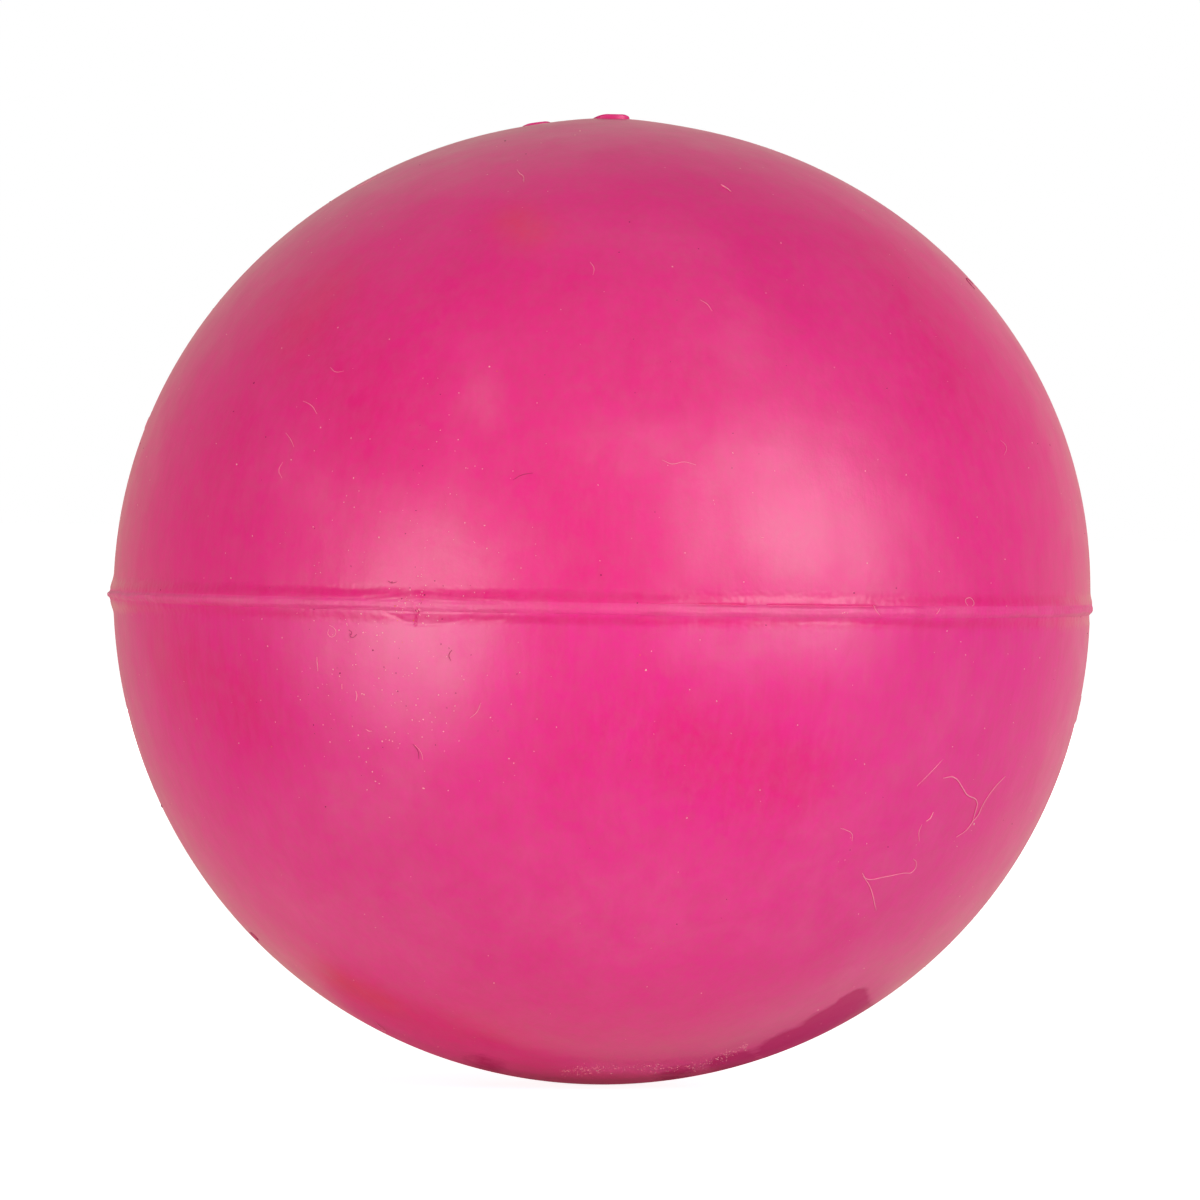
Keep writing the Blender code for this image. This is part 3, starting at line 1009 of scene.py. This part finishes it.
# Clean places, darker and glossier, that also serve as painted shade where the skin mirrors less light.
# The last two lie in the painted shade at the bottom left, where the shadowed table is mirrored.
CLEAN_AND_SHADE_MARKS = (
    ((205, 610), (225, 612), 0.7, 0.8), ((170, 650), (245, 705), 3.6, 0.90),
    ((250, 640), (280, 720), 2.2, 0.45), ((290, 300), (370, 400), 4.2, 0.90),
    ((240, 420), (215, 500), 3.0, 0.50), ((900, 270), (955, 380), 4.2, 0.95),
    ((940, 420), (930, 470), 2.4, 0.20), ((680, 738), (790, 776), 3.0, 0.85),
    ((765, 705), (810, 690), 2.0, 0.30), ((560, 760), (640, 700), 2.6, 0.35),
    ((540, 640), (560, 720), 2.4, 0.30), ((560, 460), (600, 560), 2.4, 0.40),
    ((420, 300), (560, 300), 3.0, 0.40), ((640, 370), (700, 380), 2.2, 0.45),
    ((520, 380), (640, 340), 3.0, 0.30), ((350, 992), (480, 1034), 3.0, 1.0),
    ((480, 1032), (540, 1062), 2.0, 0.6),
)
# Dust, and a painted highlight along the ridge's crest, strongest at the left.
RIDGE_BLOOM_AND_HIGHLIGHT = (  # how dusty the crest of the ridge is
    (113, 0.9), (235, 0.8), (300, 0.3), (400, 0.1), (500, 0.3), (640, 0.3), (760, 0.1), (1085, 0.2),
    ("180", 0.4),
)
# Painted shade along the bottom rim: the dark band where the shadowed table is mirrored, ending
# abruptly at the right.
RIM_SHADE_MARKS = (
    ((850, 998), (861, 1014), 1.1, 1.0), ((824, 1018), (831, 1031), 1.7, 1.0),
    ((783, 1040), (788, 1051), 1.9, 0.9), ((731, 1058), (736, 1069), 2.0, 0.7),
    ((676, 1070), (678, 1082), 2.0, 0.5), ((487, 1060), (484, 1074), 2.0, 0.45),
)
WARM_MARKS = (
    ((515, 220), (530, 232), 1.6, 0.8), ((342, 982), (380, 1000), 1.7, 1.0),
    ((880, 1003), (870, 1008), 0.8, 0.8), ((300, 330), (330, 290), 2.4, 0.4),
)


def painted(places, marks):
    """How strongly marks cover each place, from 0 to 1."""
    cover = np.zeros(len(places))
    for start, end, width, strength in marks:
        line = np.array([on_skin(start), on_skin(end)])
        gap = distance_to_line(places, line)
        cover = np.maximum(cover, strength * bell(gap, width * MM))
    return cover


GROUND_BLOOM = 0.30  # what the underside picks up
GROUND_BLOOM_TOP = -10 * MM
GROUND_BLOOM_FADE = 8 * MM
HOLLOW_PLACE = 0.35 * MM  # of the hollows beside the ridge, from the rim
HOLLOW_WIDTH = 0.32 * MM


def paint_finish(piece, extra_bloom_and_highlight=0.0, hollow_shade=0.0):
    """Writes the attribute finish on every corner: bloom and painted highlight, clean and painted
    shade, warm tint and painted rim shade.
    """
    places = corners(piece)
    colours = np.ones((len(places), 4))
    from_ground = np.clip((GROUND_BLOOM_TOP - places[:, 2]) / GROUND_BLOOM_FADE, 0, 1)
    bloom_and_highlight = painted(places, BLOOM_AND_HIGHLIGHT_MARKS) + GROUND_BLOOM * from_ground + extra_bloom_and_highlight
    colours[:, 0] = np.clip(bloom_and_highlight, 0, 1)
    from_rim = np.abs(places[:, 2]) - RIM_HEIGHT
    # Painted shade in the hollows beside the ridge, where their slopes turn from the lamps.
    shade_beside_ridge = hollow_shade * bell(from_rim - HOLLOW_PLACE, HOLLOW_WIDTH)
    colours[:, 1] = np.maximum(painted(places, CLEAN_AND_SHADE_MARKS), shade_beside_ridge)
    colours[:, 2] = painted(places, WARM_MARKS)
    colours[:, 3] = painted(places, RIM_SHADE_MARKS)
    layer = piece.data.color_attributes.new("finish", "FLOAT_COLOR", "POINT")
    layer.data.foreach_set("color", colours.astype(np.float32).ravel())
    print(piece.name, "mean bloom", round(float(colours[:, 0].mean()), 3))


paint_finish(upper_shell, hollow_shade=0.9)
paint_finish(lower_shell, hollow_shade=0.8)
for pad in pads:
    paint_finish(pad)
places = corners(seam_ring)
# The ring's crest gets dust and painted highlight.
on_crest = 1 - np.clip(np.abs(places[:, 2] / RIM_HEIGHT - 0.1), 0, 1)
crest_dust_and_highlight = round_the_seam(azimuth_of(places), RIDGE_BLOOM_AND_HIGHLIGHT)
paint_finish(seam_ring, extra_bloom_and_highlight=0.10 + crest_dust_and_highlight * on_crest)

# %% [markdown]
# ## Material helpers
#
# Colours are written as the eye sees them, in sRGB hex, and turned to the linear numbers that
# the renderer wants by one function. Another adds a node with its settings and links, and a few
# short ones stand for the nodes that are used again and again: a noise, a number moved from one
# range to another, a sum or product, a mixed colour and a relief.

# %% Material helpers
def linear(hex_colour):
    """An sRGB hex colour as linear red, green, blue and 1."""
    channels = [int(hex_colour[start : start + 2], 16) / 255 for start in (1, 3, 5)]
    return tuple(c / 12.92 if c <= 0.04045 else ((c + 0.055) / 1.055) ** 2.4 for c in channels) + (1.0,)


def set_sockets(material, node, sockets):
    """Gives a node's inputs plain values, or links them to other nodes' outputs."""
    for socket, value in sockets.items():
        if isinstance(value, bpy.types.NodeSocket):
            material.node_tree.links.new(value, node.inputs[socket])
        else:
            node.inputs[socket].default_value = value


def add_node(material, kind, settings, sockets):
    """Adds a node. Settings are its own options, and sockets take a value or another node's output."""
    node = material.node_tree.nodes.new("ShaderNode" + kind)
    for name, value in settings.items():
        setattr(node, name, value)
    set_sockets(material, node, sockets)
    return node


def place_on(material):
    """The place on the object in metres, for patterns to hang on."""
    return add_node(material, "TexCoord", {}, {}).outputs["Object"]


def noise_of(material, place, size, detail, roughness=0.5, distortion=0.0):
    """A cloudy pattern with blotches of about this size in metres."""
    return add_node(material, "TexNoise", {}, {
        "Vector": place, "Scale": 1 / size, "Detail": detail, "Roughness": roughness,
        "Distortion": distortion}).outputs[0]


def ranged(material, value, low, high, to_low, to_high):
    """A number moved from one range to another, and held at its ends."""
    return add_node(material, "MapRange", {}, {
        "Value": value, "From Min": low, "From Max": high, "To Min": to_low, "To Max": to_high,
    }).outputs[0]


def combined(material, operation, *values, clamp=False):
    """The result of a Math node, held between 0 and 1 where clamp is set."""
    settings = {"operation": operation, "use_clamp": clamp}
    return add_node(material, "Math", settings, dict(enumerate(values))).outputs[0]


def mixed(material, share, first, second):
    """A colour between two others, each sRGB hex or another node's output."""
    first, second = (linear(each) if isinstance(each, str) else each for each in (first, second))
    return add_node(material, "Mix", {"data_type": "RGBA"}, {0: share, 6: first, 7: second}).outputs[2]


def relief(material, strength, depth, height, under=None, invert=False):
    """A normal bent by a pattern, on top of the relief under it if there is one."""
    sockets = {"Strength": strength, "Distance": depth, "Height": height}
    if under is not None:
        sockets["Normal"] = under
    return add_node(material, "Bump", {"invert": invert}, sockets).outputs[0]


def new_material(name):
    material = bpy.data.materials.new(name)
    material.use_nodes = True
    return material, material.node_tree.nodes["Principled BSDF"]


def finish_of(piece, material):
    """Gives a piece its material and the body that it rides on."""
    piece.data.materials.clear()
    piece.data.materials.append(material)
    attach(piece, "root")


print("ball pink is", [round(c, 3) for c in linear("#E9217C")])

# %% [markdown]
# ## Moulded pink rubber
#
# The skin took its satin from the mould. What gives the eye rubber rather than plastic is how
# broad and soft the highlights are, a cloudy bloom that breaks them up, and rub marks where it
# was handled. The deep pink is even, so most of the change is in gloss and film, not in colour.

# %% Moulded rubber material
# The painted rim shade, a painted dark band along the bottom rim, is at most this strong.
RIM_SHADE_MOST = 0.85


def moulded_rubber(name, body, roughness):
    """Pink rubber as it leaves the mould and is handled."""
    material, shader = new_material(name)
    place = place_on(material)
    finish = add_node(material, "Attribute", {"attribute_name": "finish"}, {}).outputs
    bloom_and_highlight, clean_and_shade, warm = add_node(material, "SeparateColor", {}, {0: finish["Color"]}).outputs
    cloud = noise_of(material, place, 11 * MM, 5.0, 0.58, 0.7)
    smear = noise_of(material, place, 3.2 * MM, 6.0, 0.66, 0.5)
    swell = noise_of(material, place, 6.0 * MM, 2.0)
    grain = noise_of(material, place, 0.35 * MM, 3.0, 0.65)
    mottle = noise_of(material, place, 1.3 * MM, 5.0, 0.9)
    upright = add_node(material, "Mapping", {}, {"Vector": place, "Scale": (1.0, 1.0, 0.14)}).outputs[0]
    rub = noise_of(material, upright, 0.55 * MM, 4.0, 0.6, 0.3)
    # Wiped places and painted shade have brushed edges, and the painted shade along the bottom rim has
    # ragged ones
    strokes = ranged(material, rub, 0.38, 0.60, 0.7, 1.12)
    wiped_and_shaded = combined(material, "MULTIPLY", clean_and_shade, strokes, clamp=True)
    ragged_rim_shade = combined(material, "MULTIPLY_ADD", smear, 0.7, finish["Alpha"])
    rim_shade = ranged(material, ragged_rim_shade, 0.62, 0.84, 0.0, RIM_SHADE_MOST)
    # Film: painted bloom and painted highlight, and a thin cloudy film over everything, broken up by
    # smears and wiped off
    cloudy = ranged(material, cloud, 0.42, 0.72, 0.0, 0.24)
    smeared = ranged(material, smear, 0.35, 0.68, 0.55, 1.3)
    left_over = combined(material, "MULTIPLY_ADD", wiped_and_shaded, -0.8, smeared)
    whitened = combined(material, "ADD", cloudy, bloom_and_highlight)
    film_and_highlight = combined(material, "MULTIPLY", whitened, left_over, clamp=True)
    dust_and_highlight = combined(material, "ADD", film_and_highlight, ranged(material, mottle, 0.40, 0.62, 0.0, 0.26))
    outside_rim_shade = ranged(material, rim_shade, 0.0, RIM_SHADE_MOST, 0.16, 0.02)
    pale = combined(material, "MULTIPLY", dust_and_highlight, outside_rim_shade, clamp=True)
    # Body colour: deeper where wiped clean, in rub streaks and in painted shade, warmer where tinted,
    # darkest in the painted rim shade
    streaks = combined(material, "MULTIPLY_ADD", rub, 0.35, mottle)
    patchy = ranged(material, streaks, 0.58, 0.78, 0.0, 0.45)
    colour = mixed(material, wiped_and_shaded, body, "#E71479")
    colour = mixed(material, combined(material, "MULTIPLY", warm, 0.75), colour, "#E43A5A")
    colour = mixed(material, patchy, colour, "#DB1B70")
    colour = mixed(material, rim_shade, colour, "#C8186C")
    colour = mixed(material, pale, colour, "#F4B6C1")
    # Gloss: film and painted highlight are matt, and the moulded grain is a little uneven
    matt = combined(material, "MULTIPLY_ADD", film_and_highlight, 0.04, roughness - 0.07)
    matt = combined(material, "MULTIPLY_ADD", wiped_and_shaded, -0.07, matt)
    matt = combined(material, "MULTIPLY_ADD", smear, 0.16, matt, clamp=True)
    # Relief: a slow waviness of the skin, rub marks and the moulded grain
    bent = relief(material, 0.8, 0.22 * MM, swell)
    bent = relief(material, 0.6, 0.010 * MM, rub, bent)
    bent = relief(material, 0.8, 0.012 * MM, grain, bent)
    # Less is mirrored in the painted rim shade: a painted dark reflection.
    set_sockets(material, shader, {
        "Base Color": colour, "Roughness": matt, "Normal": bent, "IOR": 1.5,
        "Specular IOR Level": ranged(material, rim_shade, 0.0, RIM_SHADE_MOST, 0.55, 0.12)})
    return material


upper_rubber = moulded_rubber("Upper moulded pink rubber", "#EA1A82", 0.42)
lower_rubber = moulded_rubber("Lower moulded pink rubber", "#EA1A8A", 0.42)
bonding_rubber = moulded_rubber("Trimmed pink bonding rubber", "#EE278B", 0.48)
finish_of(upper_shell, upper_rubber)
finish_of(lower_shell, lower_rubber)
finish_of(seam_ring, bonding_rubber)
for pad in pads:
    finish_of(pad, upper_rubber)
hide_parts("upper_half_shell")
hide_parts("lower_half_shell")
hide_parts("bonding_ring")
print("pink rubbers:", upper_rubber.name, "/", lower_rubber.name, "/", bonding_rubber.name)

# %% [markdown]
# ## Gum and sheet rubber inside
#
# The plug and its patch can't be seen from outside, but the part can be cut open. The plug is
# raw gum, tan and faintly cloudy, and the patch is black sheet with a woven press mark.

# %% Plug and patch materials
gum, shader = new_material("Soft tan gum rubber")
cloud = noise_of(gum, place_on(gum), 1.4 * MM, 5.0)
set_sockets(gum, shader, {
    "Base Color": mixed(gum, cloud, "#C09A66", "#D6B789"), "Roughness": 0.62,
    "Normal": relief(gum, 0.4, 0.03 * MM, cloud)})

sheet, shader = new_material("Pressed black sheet rubber")
weave = add_node(sheet, "TexBrick", {"offset": 0.5}, {
    "Vector": place_on(sheet), "Scale": 1 / (0.5 * MM), "Mortar Size": 0.08,
    "Brick Width": 1.0, "Row Height": 0.5,
    "Color1": linear("#3A3836"), "Color2": linear("#423F3D"), "Mortar": linear("#2C2A29")}).outputs
set_sockets(sheet, shader, {
    "Base Color": weave["Color"], "Roughness": 0.72,
    "Normal": relief(sheet, 0.5, 0.04 * MM, weave["Fac"], invert=True)})

for node, material in (("sealing_plug", gum), ("plug_patch", sheet)):
    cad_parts[node].data.materials.clear()
    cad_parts[node].data.materials.append(material)
    print(node, "is", material.name)

# %% [markdown]
# ## Dust and lint materials
#
# Dust and lint are dry and matt. Cotton lint is cream, and the dark grains are scraps of the
# same pink rubber burnt in the mould. A noise finer than a grain keeps each from being one tone.

# %% Dust and lint materials
def dry_fleck(name, light, dark, size):
    """A matt material for grains and fibres of about this size, blotched between two colours."""
    material, shader = new_material(name)
    blotch = noise_of(material, place_on(material), size, 2.0)
    set_sockets(material, shader, {
        "Base Color": mixed(material, blotch, dark, light), "Roughness": 0.9,
        "Specular IOR Level": 0.2})
    return material


for piece, name, light, dark, size in (
    (specks[0], "Cream dust", "#FBC3BE", "#F28FA8", 0.3 * MM),
    (specks[1], "Burnt rubber scraps", "#A02A50", "#6E1A32", 0.3 * MM),
    (specks[2], "Orange dust", "#F28A3A", "#D9602A", 0.3 * MM),
    (lint, "Cotton lint", "#F9A6B6", "#F27FA4", 0.8 * MM),
    (dark_lint, "Dark cotton lint", "#C2406F", "#A02E58", 0.8 * MM),
):
    finish_of(piece, dry_fleck(name, light, dark, size))
    print(piece.name, "is", name)

# %% [markdown]
# ## Studio light
#
# The two soft highlights say where the lamps stood. A highlight lies where the skin's normal is
# half way between camera and lamp. That puts one tilted softbox 45 degrees to the left, level
# with the ball, and another 48 degrees to the right and 17 degrees up. The left highlight reaches
# below the seam, so part of that box hangs lower than the table top, which lets its light through.
# The light from the left is a little warmer. Two weak fills stand for the light that the room
# throws back, the lower one a little cooler, as the pink is at the lower right. A third stands
# straight behind the ball, where it reaches next to nothing that the photograph shows, so that
# the back isn't dark.

# %% Softboxes
BOX_DISTANCE = 1.0


def softbox(name, bearing, rise, width, height, tilt, radiance, colour=(1.0, 1.0, 1.0)):
    """A rectangular lamp aimed at the ball. Angles are in degrees, radiance is 1 for plain white."""
    bearing, rise = math.radians(bearing), math.radians(rise)
    out, up = math.cos(rise), math.sin(rise)
    place = Vector((math.sin(bearing) * out, -math.cos(bearing) * out, up))
    turn = place.to_track_quat("Z", "Y").to_matrix() @ Matrix.Rotation(math.radians(tilt), 3, "Z")
    bpy.ops.object.light_add(type="AREA", location=place * BOX_DISTANCE, rotation=turn.to_euler())
    lamp = bpy.context.object
    lamp.name = name
    lamp.data.shape = "RECTANGLE"
    lamp.data.size = 2 * BOX_DISTANCE * math.tan(math.radians(width / 2))
    lamp.data.size_y = 2 * BOX_DISTANCE * math.tan(math.radians(height / 2))
    lamp.data.energy = radiance * math.pi * lamp.data.size * lamp.data.size_y
    lamp.data.color = colour
    lamp.visible_camera = False
    lamp.visible_glossy = name.endswith("softbox")  # a fill leaves no highlight
    print(name, f"{lamp.data.energy:.2f} W")


softbox("left_softbox", -45, -6, 18, 26, -32, 11.8, (1.0, 0.97, 0.93))
softbox("right_softbox", 48, 17, 18, 30, 44, 9.7)
softbox("low_fill", 82, -30, 40, 30, 0, 1.6, (0.95, 1.0, 1.35))
softbox("top_fill", 12, 60, 60, 30, 0, 0.80)
softbox("back_fill", 180, 0, 30, 30, 0, 5.5)

# %% [markdown]
# ## The table
#
# The ball stands on a milky white product table that is lit through, so the lamps reach the ball
# from below its top as well. The photograph's background is pure white, so the wide disc that
# stands for the table top shows white to the camera, while it lights the ball only as white paper
# would. Mirrored rays pass through it and reach the room.

# %% Table
FLOOR_RADIUS = 3.9
FLOOR_GLOW = 0.90
FLOOR_GAP = 0.02 * MM  # below the ball


def kinds_of_ray(material):
    """Outputs that are 1 for camera rays, for mirrored or refracted rays, and for either kind."""
    path = add_node(material, "LightPath", {}, {}).outputs
    mirrored = combined(material, "MAXIMUM", path["Is Glossy Ray"], path["Is Transmission Ray"])
    seen = combined(material, "MAXIMUM", path["Is Camera Ray"], mirrored)
    return path["Is Camera Ray"], mirrored, seen


bpy.ops.mesh.primitive_circle_add(vertices=128, radius=FLOOR_RADIUS, fill_type="NGON")
floor = bpy.context.object
floor.name = "studio_floor"
bpy.ops.transform.translate(value=(0, 0, -LOWER_RISE - FLOOR_GAP))
bpy.ops.object.transform_apply(location=True)
floor.visible_shadow = False
floor.visible_glossy = False
floor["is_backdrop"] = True

paper = bpy.data.materials.new("White paper floor")
paper.use_nodes = True
paper.node_tree.nodes.remove(paper.node_tree.nodes["Principled BSDF"])
sheen = add_node(paper, "BsdfDiffuse", {}, {"Color": linear("#E6E4E2")}).outputs[0]
glow = combined(paper, "MULTIPLY", kinds_of_ray(paper)[2], FLOOR_GLOW)
white = add_node(paper, "Emission", {}, {"Color": (1, 1, 1, 1), "Strength": glow}).outputs[0]
both = add_node(paper, "AddShader", {}, {0: sheen, 1: white}).outputs[0]
set_sockets(paper, paper.node_tree.nodes["Material Output"], {"Surface": both})
floor.data.materials.append(paper)
print("floor", 2 * FLOOR_RADIUS, "m wide")

# %% [markdown]
# ## Shade under the ball
#
# Right under the ball the table is in its shadow. A dark oval that the camera doesn't see stands
# in for that, and gives the skin its dark crescent at the bottom.

# %% Shade under the ball
SHADE_SIZE = (0.046, 0.0264)
SHADE_PLACE = (0.0, 0.0045)
SHADE_GAP = 0.05 * MM
SHADE_TURN = math.radians(14.5)

bpy.ops.mesh.primitive_circle_add(vertices=96, radius=0.5, fill_type="NGON")
shade = bpy.context.object
shade.name = "shade_under_ball"
shade.scale = (*SHADE_SIZE, 1.0)
shade.rotation_euler.z = SHADE_TURN
bpy.ops.transform.translate(value=(*SHADE_PLACE, -LOWER_RISE - SHADE_GAP))
bpy.ops.object.transform_apply(location=True, rotation=True, scale=True)
shade.visible_camera = False
shade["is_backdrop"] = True
# The oval glows a dim pink: painted light that the ball throws onto its shadowed table, which the skin
# mirrors.
dusk, shader = new_material("Table in the ball's shadow")
set_sockets(dusk, shader, {
    "Base Color": (0, 0, 0, 1), "Emission Color": linear("#F88EA4"), "Emission Strength": 0.52})
shade.data.materials.append(dusk)
print("shade", [round(side / MM, 1) for side in SHADE_SIZE], "mm")

# %% [markdown]
# ## The room
#
# The room shows white as well, and lights the ball only as a pale room would. The room behind the
# camera is dim, and so are its left side and its upper right corner. That keeps the middle of the
# ball deep pink, while its rim mirrors the white room behind it.

# %% Room
ROOM_LIGHT = 0.215  # how brightly the room lights the ball, where 1 is white
UPPER_RIGHT = (0.7, 0.0, 0.7)
MIRRORED = "#E8FFCB"  # low down, the rim mirrors the white room a little greenish

room = bpy.data.worlds.new("Pale room")
room.use_nodes = True
bpy.context.scene.world = room
camera_ray, mirrored, seen = kinds_of_ray(room)
direction = add_node(room, "TexCoord", {}, {}).outputs["Generated"]
ways = add_node(room, "SeparateXYZ", {}, {0: direction}).outputs
to_corner = add_node(room, "VectorMath", {"operation": "DOT_PRODUCT"}, {0: direction, 1: UPPER_RIGHT})
behind = ranged(room, ways["Y"], 0.25, 0.85, 0.26, 1.0)
left = ranged(room, ways["X"], -0.65, -0.20, 0.62, 1.0)
corner = ranged(room, to_corner.outputs["Value"], 0.35, 0.70, 1.0, 0.50)
dim = combined(room, "MULTIPLY", behind, combined(room, "MULTIPLY", left, corner))
shown = combined(room, "MAXIMUM", camera_ray, dim)
level = add_node(room, "Mix", {"data_type": "FLOAT"}, {0: seen, 2: ROOM_LIGHT, 3: shown}).outputs[0]
low = ranged(room, ways["Z"], 0.0, 0.6, 1.0, 0.35)
tint = mixed(room, combined(room, "MULTIPLY", low, mirrored), "#FFFFFF", MIRRORED)
set_sockets(room, room.node_tree.nodes["Background"], {"Strength": level, "Color": tint})
bpy.context.scene.view_settings.view_transform = "Standard"
print("the room lights the ball at", ROOM_LIGHT, "of white")

# %% [markdown]
# ## Compare with the frame
#
# The dressed ball must keep the frame's size, so both boxes are written side by side.

# %% Sizes
visual_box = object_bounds()
sizes = {
    "cad": [list(corner) for corner in cad_box],
    "visual": [list(corner) for corner in visual_box],
}
for name, (low, high) in sizes.items():
    print(name, "box in mm:", [round((b - a) / MM, 3) for a, b in zip(low, high)])
